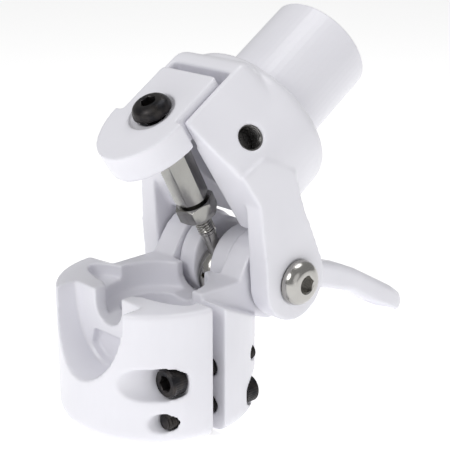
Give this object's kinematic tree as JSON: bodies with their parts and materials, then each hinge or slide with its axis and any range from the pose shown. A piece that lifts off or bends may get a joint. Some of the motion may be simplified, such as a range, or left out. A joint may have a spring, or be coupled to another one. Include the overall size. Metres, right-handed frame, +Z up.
{
  "type": "folding post joint",
  "caption": "Folding post joint: split clamp base, hinged head with a tube spigot, cam lever, and a T-shaped latch claw on a tension rod.",
  "frame": {"origin": "on the clamp bore's axis, at the underside of the base", "axes": "+X along the hinge axis towards the slit side, +Y towards the lever, +Z up along the clamped post"},
  "size_m": [0.0776, 0.1689, 0.1365],
  "materials": {
    "powder_coat": "satin white powder coat with a faint lavender cast over cast aluminium",
    "stainless": "bright machined stainless steel",
    "black_oxide": "black oxide on socket screws",
    "bronze": "plain bronze bearing liner",
    "bearing_polymer": "dark bearing polymer"
  },
  "bodies": {
    "base": {"base_clamp": "powder_coat", "clamp_screw_upper": "black_oxide", "clamp_screw_lower": "black_oxide", "pivot_bolt_near": "stainless", "pivot_bolt_far": "stainless"},
    "head": {"fold_head": "powder_coat", "stem_tube": "powder_coat", "pivot_bush_near": "bearing_polymer", "pivot_bush_far": "bearing_polymer"},
    "lever": {"cam_lever": "powder_coat", "crank_pin": "stainless", "rod_end_ball": "stainless"},
    "link": {"rod_end_housing": "stainless", "rod_end_liner": "bronze", "lock_nut": "stainless", "hex_coupling": "stainless", "latch_screw": "black_oxide"},
    "claw": {"latch_claw": "powder_coat"}
  },
  "joints": [
    {"name": "head_fold", "type": "hinge", "parent": "base", "child": "head", "pos_m": [0, 0.037, 0.046], "axis": [1, 0, 0], "range_deg": [-15, 57]},
    {"name": "lever_throw", "type": "hinge", "parent": "head", "child": "lever", "pos_m": [0, 0.037, 0.046], "axis": [1, 0, 0], "range_deg": [-15, 52]},
    {"name": "link_swing", "type": "hinge", "parent": "lever", "child": "link", "pos_m": [0, 0.03435, 0.04176], "axis": [1, 0, 0], "range_deg": [-46.6, 13.5]},
    {"name": "claw_rock", "type": "hinge", "parent": "link", "child": "claw", "pos_m": [0, 0.00235, 0.10323], "axis": [1, 0, 0], "range_deg": [-5.6, 1.7]}
  ],
  "couplings": [
    {"joint": "link_swing", "follows": "lever_throw", "ratio": -0.89423},
    {"joint": "claw_rock", "follows": "lever_throw", "ratio": -0.10577}
  ]
}
